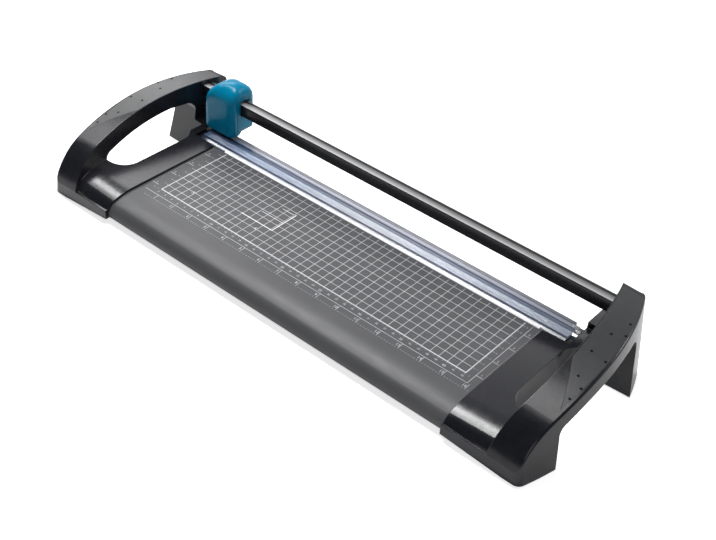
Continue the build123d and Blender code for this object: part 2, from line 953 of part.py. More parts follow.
def socket():
    """Cup in the leg that holds the end of the rail."""
    end = rail_end + socket_cap
    body = rail_block(socket_wall, socket_inner, end) - rail_block(0, socket_inner - 1, rail_end + 0.1)
    x, y = rail_screw_place()
    return body - rod_z(below, rail_bottom, x, y, screw_radius + screw_gap)


def rail_screws():
    x, y = rail_screw_place()
    screw = screw_up(rail_bottom - socket_wall, rail_bottom + rail_wall + screw_past, x, y)
    return both_sides(screw)


def beam_screw_place():
    return half_bed + beam_overhang - beam_screw_inset, (beam_front + sleeve_back) / 2


def beam_screws():
    x, y = beam_screw_place()
    return both_sides(screw_up(beam_bottom - beam_seat, beam_bottom + beam_wall + screw_past, x, y))


def beam_with_holes():
    x, y = beam_screw_place()
    hole = rod_z(beam_bottom - 1, beam_bottom + beam_wall + 0.5, x, y, screw_radius + running_gap)
    return beam() - both_sides(hole)


# Cutting head


def dome_inset(height, top, radius):
    """How far a side that rolls over with the given radius has moved in at a height."""
    rise = height - (top - radius)
    return radius - sqrt(radius**2 - rise**2) if rise > 0 else 0.0


def head_form(inset):
    """The head as upright walls under a dome, inset by the same amount all round.

    The dome is drawn through rounded rectangles, one for each layer. Every side
    rolls over with its own radius, the left one with the largest.
    """
    top = head_top - inset
    left = head_x - head_length / 2 + inset
    right = head_x + head_length / 2 - inset
    front = head_front + inset
    back = head_back - inset
    corner = head_corner - inset
    big = head_left_round - inset
    start = top - big
    sections = []
    for i in range(head_layers + 1):
        height = start + big * sin(radians(84.0 * i / head_layers))
        x0 = left + dome_inset(height, top, big)
        x1 = right - dome_inset(height, top, head_right_round - inset)
        y0 = front + dome_inset(height, top, head_front_round - inset)
        y1 = back - dome_inset(height, top, head_front_round - inset)
        radius = min(corner, 0.42 * (y1 - y0))
        sections.append(Pos((x0 + x1) / 2, (y0 + y1) / 2, height) * RectangleRounded(x1 - x0, y1 - y0, radius))
    walls = Pos(0, 0, below - start) * extrude(sections[0], start - below)
    return loft(sections, ruled=True) + walls


def head_floor():
    """What lies under the head: a low skirt in front, higher behind."""
    edges = Polyline(
        (head_front - 5, below),
        (head_front - 5, head_skirt),
        (head_skirt_back, head_skirt),
        (head_skirt_back + 4, head_bottom),
        (head_back + 5, head_bottom),
        (head_back + 5, below),
        (head_front - 5, below),
    )
    start = head_x - head_length
    floor = along(side_face(edges, start), 2 * head_length)
    notch_top = bridge_top + head_travel + travel_room
    notch_end = park_room - channel_end
    notch = box(start, notch_end, sleeve_back - 1.5, head_back + 5, below, notch_top)
    return floor + notch


def rail_passage():
    """Hole for the rail through the ends of the head, with room for the press."""
    return box(
        head_x - head_length,
        head_x + head_length,
        rail_front - 0.8,
        rail_back + 0.8,
        rail_bottom - travel_room,
        rail_top + head_travel + travel_room,
    )


def side_recess(gap, depth):
    """Shallow seat in the free end of the head for its cover plate."""
    half = head_length / 2
    radius = (head_back - head_front) / 2 - head_corner - gap
    middle = (head_front + head_back) / 2
    spring_line = head_top - head_right_round - radius
    low = head_bottom + side_plate_margin + gap
    edges = Line((middle - radius, low), (middle - radius, spring_line))
    edges += ThreePointArc(
        (middle - radius, spring_line), (middle, spring_line + radius), (middle + radius, spring_line)
    )
    edges += Line((middle + radius, spring_line), (middle + radius, low))
    edges += Line((middle + radius, low), (middle - radius, low))
    return along(side_face(edges, head_x + half - depth), depth)


def head_shell():
    """One-piece hood, open below, with the cover seat, rail passage and spring bosses."""
    body = head_form(0) - head_form(head_wall) - head_floor()
    body -= rail_passage()
    body -= side_recess(0, side_plate / 2)
    for x in spring_places():
        boss = rod_z(spring_top(), above, x, spring_y(), spring_radius + 1.2)
        body += boss & head_form(head_wall / 2)
    return body


def side_cover():
    """Cover plate on the free end of the head, with its own rail passage."""
    return side_recess(0.1, side_plate / 2) - rail_passage()


def carriage_top():
    return rail_top + rail_clearance + bush_wall + carriage_roof


def carriage_front():
    return rail_front - rail_clearance - bush_wall - carriage_side_wall


def carriage_back():
    return rail_back + rail_clearance + bush_wall + carriage_side_wall


def carriage_ends():
    middle = head_x + carriage_offset
    return middle - carriage_length / 2, middle + carriage_length / 2


def spring_top():
    """Lower face of the bosses in the hood that the springs push against."""
    return carriage_top() + spring_room


def spring_places():
    middle = head_x + spring_offset
    return [middle - spring_spacing / 2, middle + spring_spacing / 2]


def spring_y():
    return (head_front + head_back) / 2 + 1.0


def carriage():
    """Slider block round the rail, with pegs for the springs."""
    start, end = carriage_ends()
    low = rail_bottom - rail_clearance - bush_wall - carriage_floor
    body = box(start, end, carriage_front(), carriage_back(), low, carriage_top())
    body -= rail_block(rail_clearance + bush_wall, start - 1, end + 1)
    middle_rib = rail_block(rail_clearance + bush_wall, start + bush_length, end - bush_length)
    body += middle_rib - rail_block(rail_clearance + 0.4, start, end)
    for x in spring_places():
        body += rod_z(carriage_top(), carriage_top() + peg_height, x, spring_y(), peg_radius)
    return body


def slide_bushes():
    """Two plain bushes that line the ends of the carriage."""
    bushes = []
    first, last = carriage_ends()
    for start in (first, last - bush_length):
        end = start + bush_length
        outer = rail_block(rail_clearance + bush_wall, start, end)
        bushes.append(outer - rail_block(rail_clearance, start - 1, end + 1))
    return bushes


def press_springs():
    """Coil springs between the carriage and the hood, each one open helix."""
    height = spring_top() - carriage_top() - spring_wire - 0.02
    pitch = height / spring_turns
    springs = []
    for x in spring_places():
        foot = carriage_top() + spring_wire / 2 + 0.01
        path = Helix(pitch, height, spring_radius)
        wire = Plane(path @ 0, z_dir=path % 0) * Circle(spring_wire / 2)
        springs.append(Pos(x, spring_y(), foot) * sweep(wire, path))
    return springs


# Blade and holder


def guard_outline(y0, y1, radius):
    """Round guard over the blade, seen from the front and cut off below."""
    disc = rod_y(y0, y1, head_x, blade_z, radius)
    low = box(head_x - guard_half_width, head_x + guard_half_width, y0, y1, guard_low, above)
    return disc & low


def blade_holder():
    """Plate across the head, with a cup behind it that shields the blade."""
    half = head_length / 2 - head_wall
    room = blade_radius + blade_room
    body = box(head_x - half, head_x + half, holder_front, holder_back, holder_low, holder_top)
    body += guard_outline(holder_front, guard_back, room + guard_wall)
    body -= rod_y(holder_back, guard_back + 1, head_x, blade_z, room)
    body -= rod_y(holder_front + 1.0, guard_back + 1, head_x, blade_z, axle_radius)
    for x, z in cover_screw_places():
        body += rod_y(holder_back - 1, guard_back, x, z, cover_screw_radius + 1.0)
    for x, z in cover_screw_places():
        body -= rod_y(holder_back, guard_back + 1, x, z, cover_screw_radius + running_gap)
    return body


def cover_screw_places():
    """Three screws on the rim of the guard: left, right and between them on one side."""
    reach = blade_radius + blade_room + guard_wall + 0.6
    turns = (20.0, 62.0, 160.0)
    return [
        (head_x + reach * cos(radians(turn)), blade_z + reach * sin(radians(turn))) for turn in turns
    ]


def guard_cover():
    """Plate that closes the guard from behind and carries the end of the axle."""
    front = guard_back
    back = guard_back + cover_thickness
    body = guard_outline(front, back, blade_radius + blade_room + guard_wall)
    body -= rod_y(front - 1, back + 1, head_x, blade_z, axle_radius)
    for x, z in cover_screw_places():
        body += rod_y(front, back, x, z, cover_screw_radius + 1.0)
    for x, z in cover_screw_places():
        body -= rod_y(front - 1, back + 1, x, z, cover_screw_radius + screw_gap)
    return body


def cover_screws():
    """Small screws driven from behind through the guard cover."""
    seat = guard_back + cover_thickness
    screws = []
    for x, z in cover_screw_places():
        shank = rod_y(holder_back + 0.3, seat, x, z, cover_screw_radius)
        head = rod_y(seat, seat + 1.0, x, z, cover_screw_head)
        slot = box(x - 2, x + 2, seat + 0.5, seat + 2, z - 0.25, z + 0.25)
        screws.append(shank + head - slot)
    return screws


def axle():
    """Steel pin that the blade turns on, held in the holder and the guard cover."""
    return rod_y(holder_front + 1.1, guard_back + cover_thickness, head_x, blade_z, axle_radius)


def blade():
    """Round blade with a bevelled edge, turned about its axle."""
    half = blade_thickness / 2
    bore = axle_radius + running_gap + 0.8
    profile = Polyline(
        (bore, -half),
        (blade_radius - blade_bevel, -half),
        (blade_radius, -0.03),
        (blade_radius, 0.03),
        (blade_radius - blade_bevel, half),
        (bore, half),
        (bore, -half),
    )
    disc = revolve(Plane.XZ * make_face(profile), Axis.Z)
    return Pos(head_x, blade_y, blade_z) * Rot(-90, 0, 0) * disc


def hub():
    """Plastic hub that grips the blade and runs on the axle."""
    front = (holder_back + guard_back - hub_length) / 2
    back = front + hub_length
    half = blade_thickness / 2
    body = rod_y(front, back, head_x, blade_z, axle_radius + running_gap + 0.8)
    body += rod_y(front, blade_y - half, head_x, blade_z, hub_radius)
    body += rod_y(blade_y + half, back, head_x, blade_z, hub_radius - 1.2)
    return body - rod_y(front - 1, back + 1, head_x, blade_z, axle_radius + running_gap)


def main():
    right_cap = cap()
    right_pad = grip_pad()
    right_bracket = hinge_bracket()
    right_socket = socket()
    parts = {
        "bed_plate": plate(),
        "bed_tray": tray(),
        "bed_screws": base_screws(),
        "back_beam": beam_with_holes(),
        "beam_screws": beam_screws(),
        "cutting_mat": mat(),
        "mat_end_stops": mat_stops(),
        "paper_clamp": clamp(),
        "clamp_hinge_pins": hinge_pins(),
        "clamp_bracket_right": right_bracket,
        "clamp_bracket_left": mirror(right_bracket, about=Plane.YZ),
        "end_cap_right": right_cap,
        "end_cap_left": mirror(right_cap, about=Plane.YZ),
        "grip_pad_right": right_pad,
        "grip_pad_left": mirror(right_pad, about=Plane.YZ),
        "cap_soles": soles(),
        "rubber_feet": rubber_feet(),
        "guide_rail": rail(),
        "rail_socket_right": right_socket,
        "rail_socket_left": mirror(right_socket, about=Plane.YZ),
        "rail_screws": rail_screws(),
        "head_shell": head_shell(),
        "head_side_cover": side_cover(),
        "head_carriage": carriage(),
        "slide_bushes": slide_bushes(),
        "press_springs": press_springs(),
        "blade_holder": blade_holder(),
        "guard_cover": guard_cover(),
        "cover_screws": cover_screws(),
        "blade_axle": axle(),
        "cutting_blade": blade(),
        "blade_hub": hub(),
    }

    # The origin is on the desk, under the middle of the whole cutter
    placed = {}
    for name, shape in parts.items():
        solids = shape if isinstance(shape, list) else shape.solids()
        placed[name] = on_desk(Compound(children=[s for s in solids]))
    whole = Compound(children=[s.moved(Location()) for s in placed.values()]).bounding_box()
    middle = (whole.min.Y + whole.max.Y) / 2
    os.makedirs("parts", exist_ok=True)
    for name, shape in placed.items():
        export_step(Pos(0, -middle, 0) * shape, "parts/" + name + ".step")
    print("bed origin lies at y", round(-middle, 3), "z", round(plate_height * cos(radians(bed_tilt)), 3))
    print("blade axis in the bed frame", head_x, blade_y, round(blade_z, 3))
    print("size", whole.size, "lowest", round(whole.min.Z, 4))


main()
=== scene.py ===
import json
import math

import bmesh
import bpy
import numpy as np
from mathutils import Matrix, Vector


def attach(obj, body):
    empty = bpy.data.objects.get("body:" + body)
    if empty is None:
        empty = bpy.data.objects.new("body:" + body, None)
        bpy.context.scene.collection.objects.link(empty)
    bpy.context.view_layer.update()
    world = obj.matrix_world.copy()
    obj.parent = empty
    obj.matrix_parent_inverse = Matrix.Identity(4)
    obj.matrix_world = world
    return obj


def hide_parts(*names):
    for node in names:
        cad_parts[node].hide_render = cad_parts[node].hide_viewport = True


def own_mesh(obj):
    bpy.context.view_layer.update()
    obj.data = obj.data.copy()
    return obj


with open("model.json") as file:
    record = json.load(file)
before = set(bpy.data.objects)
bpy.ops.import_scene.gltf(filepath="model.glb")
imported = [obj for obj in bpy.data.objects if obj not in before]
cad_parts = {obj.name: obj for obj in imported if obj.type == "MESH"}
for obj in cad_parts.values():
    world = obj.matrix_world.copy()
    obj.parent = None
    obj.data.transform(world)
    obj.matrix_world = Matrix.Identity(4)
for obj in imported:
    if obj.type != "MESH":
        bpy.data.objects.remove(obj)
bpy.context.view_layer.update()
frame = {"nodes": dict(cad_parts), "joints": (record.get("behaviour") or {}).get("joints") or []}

# Looks of a rolling paper cutter: a printed grey plate between two black end
# caps, a clear ribbed clamp, a pale cutting mat and a teal head on a dark rail.
# Lengths in the drawing of the bed are millimetres; the scene is in metres.
millimetre = 0.001

# Frame of the bed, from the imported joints: x along it, y to the back, z square to the plate
hinge_y = 115.5
hinge_z = 2.7
joints = {joint["name"]: joint for joint in frame["joints"]}
press_axis = np.array(joints["head_press"]["axis"], float)
tilt = math.atan2(press_axis[1], -press_axis[2])
along = np.array([1.0, 0.0, 0.0])
back = np.array([0.0, math.cos(tilt), math.sin(tilt)])
rise = np.array([0.0, -math.sin(tilt), math.cos(tilt)])
bed_axes = np.stack([along, back, rise])
hinge = np.array(joints["clamp_lift"]["pos_m"], float)
bed_start = hinge - millimetre * (hinge_y * back + hinge_z * rise)


# Meshes
weld_distance = 2e-6


def placed(points):
    """Points drawn in the bed, in millimetres, as points of the scene in metres."""
    return bed_start + millimetre * np.asarray(points, float) @ bed_axes


def in_bed(points):
    """Points of the scene, in metres, as points drawn in the bed in millimetres."""
    return (points - bed_start) @ bed_axes.T / millimetre


def read_rows(items, value, width, kind=float):
    """One value of every item of a mesh as an array, with a row for each item."""
    values = np.empty(width * len(items), kind)
    items.foreach_get(value, values)
    return values.reshape(-1, width)


def added(name, data):
    """An object put into the scene under its name."""
    thing = bpy.data.objects.new(name, data)
    bpy.context.scene.collection.objects.link(thing)
    return thing


def build(name, points, faces):
    """A mesh piece from bed points and faces, its normals turned outwards."""
    mesh = bpy.data.meshes.new(name)
    mesh.from_pydata(placed(points).tolist(), [], [list(map(int, face)) for face in faces])
    shell = bmesh.new()
    shell.from_mesh(mesh)
    bmesh.ops.recalc_face_normals(shell, faces=shell.faces)
    shell.to_mesh(mesh)
    shell.free()
    return added(name, mesh)


def merged_mesh(node):
    """A copy of the mesh of a node, with its loose triangles joined at their corners."""
    mesh = frame["nodes"][node].data.copy()
    shell = bmesh.new()
    shell.from_mesh(mesh)
    bmesh.ops.remove_doubles(shell, verts=shell.verts, dist=weld_distance)
    shell.to_mesh(mesh)
    shell.free()
    return mesh


def smooth(piece, sharp_from):
    """Smooth shading that keeps the edges sharper than an angle in degrees."""
    mesh = piece.data
    mesh.polygons.foreach_set("use_smooth", np.ones(len(mesh.polygons), bool))
    mesh.set_sharp_from_angle(angle=math.radians(sharp_from))
    return piece


def dress(piece, material, body):
    """Gives a piece its material and its body."""
    piece.data.materials.append(material)
    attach(piece, body)


def face_middles(piece):
    """The middle of each face of a piece, in the bed."""
    return in_bed(read_rows(piece.data.polygons, "center", 3))


def second_finish(piece, material, chosen):
    """Gives a second material to the chosen faces of a piece."""
    piece.data.materials.append(material)
    piece.data.polygons.foreach_set("material_index", chosen.astype(np.int32))


def tube_faces(rings, around):
    """Faces of a tube stored ring by ring: quads between rings, one face on each end."""
    first = around * np.arange(rings - 1)[:, None]
    here = np.arange(around)[None, :]
    beside = (here + 1) % around
    quads = np.stack([first + here, first + beside, first + around + beside, first + around + here], -1)
    near_end = list(range(around))
    far_end = list(range(rings * around - 1, (rings - 1) * around - 1, -1))
    return quads.reshape(-1, 4).tolist() + [near_end, far_end]


def carried(name, profile, *stations):
    """A closed profile in y and z carried along x past each station, its ends closed."""
    profile = np.asarray(profile, float)
    grid = np.empty((len(stations), len(profile), 3))
    grid[:, :, 0] = np.array(stations, float)[:, None]
    grid[:, :, 1:] = profile[None]
    return build(name, grid.reshape(-1, 3), tube_faces(len(stations), len(profile)))


def slabs(boxes, low, high):
    """Thin closed blocks: rows of x0, x1, y0, y1 between two heights."""
    corners = np.array([[0, 2], [1, 2], [1, 3], [0, 3]])
    sides = np.array([[3, 2, 1, 0], [4, 5, 6, 7], [0, 1, 5, 4], [1, 2, 6, 5], [2, 3, 7, 6], [3, 0, 4, 7]])
    flat = np.asarray(boxes, float)[:, corners]
    points = np.empty((len(flat), 8, 3))
    points[:, :4, :2] = flat
    points[:, 4:, :2] = flat
    points[:, :4, 2] = low
    points[:, 4:, 2] = high
    faces = sides[None] + 8 * np.arange(len(flat))[:, None, None]
    return points.reshape(-1, 3), faces.reshape(-1, 4)


def joined(parts):
    """Several sets of points and faces as one."""
    points = []
    faces = []
    count = 0
    for some_points, some_faces in parts:
        points.append(some_points)
        faces.extend([tuple(int(i) + count for i in face) for face in some_faces])
        count += len(some_points)
    return np.vstack(points), faces


# Nodes of the materials; most of a noise lies between its low and its high
noise_low = 0.3
noise_high = 0.7


def shader(name):
    """An empty node material with its surface shader and object coordinates."""
    material = bpy.data.materials.new(name)
    material.use_nodes = True
    nodes = material.node_tree.nodes
    surface = nodes["Principled BSDF"]
    place = nodes.new("ShaderNodeTexCoord").outputs["Object"]
    return material, nodes, material.node_tree.links, surface, place


def noise_of(nodes, links, place, scale, detail=3.0, stretch=None):
    """Noise over the object, drawn out along an axis where stretch says so."""
    if stretch is not None:
        mapping = nodes.new("ShaderNodeMapping")
        mapping.inputs["Rotation"].default_value = (-tilt, 0, 0)
        mapping.inputs["Scale"].default_value = stretch
        links.new(place, mapping.inputs["Vector"])
        place = mapping.outputs["Vector"]
    noise = nodes.new("ShaderNodeTexNoise")
    noise.inputs["Scale"].default_value = scale
    noise.inputs["Detail"].default_value = detail
    links.new(place, noise.inputs["Vector"])
    return noise.outputs["Fac"]


def between(nodes, links, factor, low, high, start=noise_low, end=noise_high):
    """A factor from start to end turned into a value between low and high."""
    spread = nodes.new("ShaderNodeMapRange")
    spread.inputs["From Min"].default_value = start
    spread.inputs["From Max"].default_value = end
    spread.inputs["To Min"].default_value = low
    spread.inputs["To Max"].default_value = high
    links.new(factor, spread.inputs["Value"])
    return spread.outputs["Result"]


def tinted(nodes, links, noise, dark, light):
    """A noise turned into a colour between two colours."""
    ramp = nodes.new("ShaderNodeValToRGB")
    ramp.color_ramp.elements[0].position = noise_low
    ramp.color_ramp.elements[0].color = (*dark, 1)
    ramp.color_ramp.elements[1].position = noise_high
    ramp.color_ramp.elements[1].color = (*light, 1)
    links.new(noise, ramp.inputs["Fac"])
    return ramp.outputs["Color"]


def product(nodes, links, one, other):
    """Two colours multiplied."""
    times = nodes.new("ShaderNodeMix")
    times.data_type = "RGBA"
    times.blend_type = "MULTIPLY"
    times.inputs["Factor"].default_value = 1.0
    links.new(one, times.inputs["A"])
    links.new(other, times.inputs["B"])
    return times.outputs["Result"]


def along_axis(nodes, links, place, axis, stops):
    """A colour that changes along an axis of the bed, with stops at millimetres."""
    reach = nodes.new("ShaderNodeVectorMath")
    reach.operation = "DOT_PRODUCT"
    reach.inputs[1].default_value = axis
    links.new(place, reach.inputs[0])
    zero_at = float(bed_start @ axis)
    first = stops[0][0]
    last = stops[-1][0]
    start = zero_at + millimetre * first
    end = zero_at + millimetre * last
    ramp = nodes.new("ShaderNodeValToRGB")
    marks = ramp.color_ramp.elements
    marks[0].color = (*stops[0][1], 1)
    marks[1].color = (*stops[-1][1], 1)
    for reach_mm, colour in stops[1:-1]:
        mark = marks.new((reach_mm - first) / (last - first))
        mark.color = (*colour, 1)
    links.new(between(nodes, links, reach.outputs["Value"], 0, 1, start, end), ramp.inputs["Fac"])
    return ramp.outputs["Color"]


def banded(nodes, links, place, tint, across, lengthwise):
    """A tint multiplied by bands across the bed and along it, where stops are given."""
    for axis, stops in ((back, across), (along, lengthwise)):
        if stops:
            tint = product(nodes, links, tint, along_axis(nodes, links, place, axis, stops))
    return tint


def grained(name, colour, roughness, spread=0.12, grain=900.0, depth=0.00003, edge=0.0, metallic=0.0,
            level=0.5, stretch=None, across=None, lengthwise=None):
    """A moulded or painted finish: cloudy tone, uneven gloss and a fine grain.

    Large soft noise varies the tone, middle noise varies the roughness, fine
    noise raises the grain, and edge rounds the light over sharp edges. Stops
    given across and lengthwise multiply the colour in bands over the bed, which paints light and shade on
    it.
    """
    cloud_scale = 60.0
    gloss_scale = 180.0
    material, nodes, links, surface, place = shader(name)
    surface.inputs["Metallic"].default_value = metallic
    surface.inputs["Specular IOR Level"].default_value = level
    dark = tuple(c * (1 - spread) for c in colour)
    light = tuple(c * (1 + spread) for c in colour)
    clouds = noise_of(nodes, links, place, cloud_scale, 4.0, stretch)
    tint = banded(nodes, links, place, tinted(nodes, links, clouds, dark, light), across, lengthwise)
    links.new(tint, surface.inputs["Base Color"])
    gloss = noise_of(nodes, links, place, gloss_scale, 5.0, stretch)
    links.new(between(nodes, links, gloss, *roughness), surface.inputs["Roughness"])
    bump = nodes.new("ShaderNodeBump")
    bump.inputs["Strength"].default_value = 1.0
    bump.inputs["Distance"].default_value = depth
    links.new(noise_of(nodes, links, place, grain, 2.0, stretch), bump.inputs["Height"])
    if edge:
        corner = nodes.new("ShaderNodeBevel")
        corner.samples = 6
        corner.inputs["Radius"].default_value = edge
        links.new(corner.outputs["Normal"], bump.inputs["Normal"])
    links.new(bump.outputs["Normal"], surface.inputs["Normal"])
    return material


def clear_material(name, colour, roughness, frost, across=None, lengthwise=None):
    """Clear plastic with fine flow marks; frost makes it milky and whiter.

    It casts no shadow. Stops given across and lengthwise tint it in bands over
    the bed, which paints light and shade on it.
    """
    acrylic_index = 1.49
    flow_scale = 420.0
    flow_stretch = (0.12, 1.0, 1.0)
    flow_shade = 0.86
    flow_gloss = 0.08
    material, nodes, links, surface, place = shader(name)
    surface.inputs["Transmission Weight"].default_value = 1.0 - frost
    surface.inputs["IOR"].default_value = acrylic_index
    flow = noise_of(nodes, links, place, flow_scale, stretch=flow_stretch)
    dark = tuple(flow_shade * c for c in colour)
    tint = banded(nodes, links, place, tinted(nodes, links, flow, dark, colour), across, lengthwise)
    links.new(tint, surface.inputs["Base Color"])
    links.new(between(nodes, links, flow, roughness, roughness + flow_gloss), surface.inputs["Roughness"])
    path = nodes.new("ShaderNodeLightPath")
    through = nodes.new("ShaderNodeBsdfTransparent")
    mix = nodes.new("ShaderNodeMixShader")
    links.new(path.outputs["Is Shadow Ray"], mix.inputs["Fac"])
    links.new(surface.outputs["BSDF"], mix.inputs[1])
    links.new(through.outputs["BSDF"], mix.inputs[2])
    links.new(mix.outputs["Shader"], nodes["Material Output"].inputs["Surface"])
    return material


# Finishes of the plate, the caps and the feet
# Painted shade along the plate: its colour is darker towards the left end, where the lamps light it more
plate_painted_shade = [
    (-228.0, (0.80, 0.80, 0.80)),
    (228.0, (1.05, 1.05, 1.05)),
]
plate_paint = grained(
    "plate_paint", (0.094, 0.095, 0.100), spread=0.05, roughness=(0.34, 0.40), grain=1400.0, depth=0.00002,
    level=0.26, stretch=(0.3, 1, 1), lengthwise=plate_painted_shade,
)
print_ink = grained(
    "print_ink", (0.58, 0.60, 0.61), spread=0.10, roughness=(0.5, 0.6), grain=2500.0, depth=0.00001,
)
bright_ink = grained(
    "bright_ink", (0.95, 0.96, 0.97), spread=0.03, roughness=(0.5, 0.6), grain=2500.0, depth=0.00001,
)
cap_black = grained(
    "cap_black", (0.0115, 0.012, 0.0155), roughness=(0.18, 0.24), grain=1500.0, depth=0.000012,
    edge=0.0010, level=0.43,
)
tray_black = grained(
    "tray_black", (0.02, 0.02, 0.022), spread=0.15, roughness=(0.45, 0.6), depth=0.00004,
)
pad_rubber = grained(
    "pad_rubber", (0.022, 0.023, 0.025), roughness=(0.33, 0.40), grain=2200.0, edge=0.0003,
)
foot_rubber = grained(
    "foot_rubber", (0.012, 0.012, 0.013), spread=0.2, roughness=(0.7, 0.85), grain=1200.0, depth=0.00006,
)

# Finishes of the beam, the rail and the mat, drawn along the bed
drawn = (0.02, 1, 1)
beam_dark = grained(
    "beam_dark", (0.022, 0.026, 0.045), spread=0.1, roughness=(0.32, 0.42), grain=2000.0, depth=0.00002,
    metallic=0.3, stretch=drawn,
)
rail_dark = grained(
    "rail_dark", (0.007, 0.007, 0.010), roughness=(0.22, 0.28), grain=2400.0, depth=0.00001, stretch=drawn,
)
# Painted shade along the mat: darker and bluer at the left end, and darker still at the right end
mat_painted_shade = [
    (-236.0, (0.50, 0.55, 0.62)),
    (-180.0, (1.0, 1.0, 1.0)),
    (110.0, (1.0, 1.0, 1.0)),
    (236.0, (0.36, 0.38, 0.42)),
]
mat_pale = grained(
    "mat_pale", (0.60, 0.61, 0.68), spread=0.06, roughness=(0.30, 0.42), grain=2400.0,
    stretch=(0.03, 1, 1), lengthwise=mat_painted_shade,
)
# Painted light across the rail's top: a painted highlight at its front edge fading backwards, painted shade
# in the groove, and a lighter rear lip as painted sheen
rail_painted_light_bands = [
    (128.3, (0.56, 0.56, 0.57)),
    (130.0, (0.38, 0.38, 0.39)),
    (132.6, (0.20, 0.20, 0.20)),
    (134.8, (0.11, 0.11, 0.11)),
    (135.1, (0.015, 0.015, 0.017)),
    (138.1, (0.015, 0.015, 0.017)),
    (138.4, (0.24, 0.24, 0.24)),
    (140.1, (0.12, 0.12, 0.12)),
]
rail_top_painted_light = grained(
    "rail_top_painted_light", (0.9, 0.9, 0.9), spread=0.04, roughness=(0.30, 0.38), grain=2400.0, depth=0.00001,
    stretch=drawn, across=rail_painted_light_bands,
)

# Finishes of the nubs, the head and the small parts
# Near-black nubs: painted shade for the shaded sides of the raised nubs
nub_painted_shade = grained(
    "nub_painted_shade", (0.005, 0.005, 0.006), spread=0.1, roughness=(0.70, 0.80), grain=2000.0, depth=0.00001,
    level=0.1,
)
head_teal = grained(
    "head_teal", (0.0006, 0.200, 0.345), spread=0.05, roughness=(0.15, 0.20), grain=1500.0, depth=0.00001,
    edge=0.0040, level=0.16,
)
bush_pale = grained(
    "bush_pale", (0.55, 0.53, 0.48), spread=0.06, roughness=(0.4, 0.5),
)
screw_steel = grained(
    "screw_steel", (0.52, 0.51, 0.49), spread=0.1, roughness=(0.28, 0.42), grain=3000.0, depth=0.00002,
    metallic=1.0,
)
spring_steel = grained(
    "spring_steel", (0.45, 0.45, 0.46), spread=0.1, roughness=(0.22, 0.32), grain=3000.0, depth=0.00001,
    metallic=1.0,
)
blade_steel = grained(
    "blade_steel", (0.62, 0.62, 0.64), spread=0.08, roughness=(0.16, 0.28), grain=3500.0, depth=0.00002,
    metallic=1.0, stretch=(1, 0.05, 1),
)

# Finishes of the clear clamp, with painted light in bands across it: painted shade behind the lip, painted
# highlights and painted shade in turn over the ribs, painted shade over the seam of the spine
rib_painted_highlight = (1.0, 1.0, 1.0)
rib_painted_shade = (0.52, 0.54, 0.58)
first_rib = 103.4
rib_step = 0.75
clamp_painted_light_bands = [(99.0, (0.24, 0.25, 0.27)), (102.6, (0.20, 0.21, 0.23))]
clamp_painted_light_bands += [(first_rib + rib_step * k, rib_painted_shade if k % 2 else rib_painted_highlight) for k in range(11)]
# Across the spine: painted highlights on its sides and painted shade over its seam
clamp_painted_light_bands += [
    (111.6, (0.42, 0.45, 0.50)),
    (112.8, (0.58, 0.61, 0.66)),
    (113.6, (0.07, 0.08, 0.12)),
    (115.8, (0.09, 0.10, 0.14)),
    (116.8, (0.62, 0.64, 0.70)),
    (118.3, (0.55, 0.57, 0.64)),
]
# Painted shade along the clamp: darker and bluer at the left end, where the head shades it, and greyer at
# the right end
bar_painted_shade = [
    (-243.0, (0.14, 0.20, 0.31)),
    (-206.0, (0.18, 0.27, 0.42)),
    (-175.0, (0.52, 0.62, 0.76)),
    (0.0, (1.0, 1.0, 1.0)),
    (90.0, (1.0, 1.02, 1.06)),
    (200.0, (0.56, 0.62, 0.70)),
    (243.0, (0.50, 0.55, 0.62)),
]
clear_bar = clear_material(
    "clear_bar", (0.80, 0.82, 0.88), roughness=0.10, frost=0.72, across=clamp_painted_light_bands, lengthwise=bar_painted_shade,
)
# Milky white lip: a painted highlight for the light that the clamp's front edge catches
lip_painted_highlight = clear_material("lip_painted_highlight", (0.97, 0.97, 1.0), roughness=0.25, frost=0.92)
clear_block = clear_material("clear_block", (0.92, 0.95, 0.99), roughness=0.05, frost=0.0)

# Nodes that are shown as the CAD made them, with their finishes
dressed = {
    "bed_tray": tray_black,
    "bed_screws": screw_steel,
    "back_beam": beam_dark,
    "beam_screws": screw_steel,
    "mat_end_stops": clear_block,
    "clamp_hinge_pins": screw_steel,
    "clamp_bracket_right": clear_block,
    "clamp_bracket_left": clear_block,
    "end_cap_right": cap_black,
    "end_cap_left": cap_black,
    "grip_pad_right": pad_rubber,
    "grip_pad_left": pad_rubber,
    "cap_soles": tray_black,
    "rubber_feet": foot_rubber,
    "rail_socket_right": tray_black,
    "rail_socket_left": tray_black,
    "rail_screws": screw_steel,
    "head_side_cover": head_teal,
    "head_carriage": tray_black,
    "slide_bushes": bush_pale,
    "blade_holder": tray_black,
    "guard_cover": tray_black,
    "cover_screws": screw_steel,
    "blade_axle": screw_steel,
    "cutting_blade": blade_steel,
    "blade_hub": bush_pale,
}
for node, material in dressed.items():
    for slot in frame["nodes"][node].material_slots:
        slot.material = material


# Plate with its rolled front and hemmed skirt
half_plate = 228.0
plate_back = 118.4
plate_front = -24.0
plate_sheet = 1.5
roll_radius = 70.0
roll_turn = 20.0
nose_radius = 14.0
nose_turn = 75.0
skirt_drop = 4.2
hem_edge = 0.3


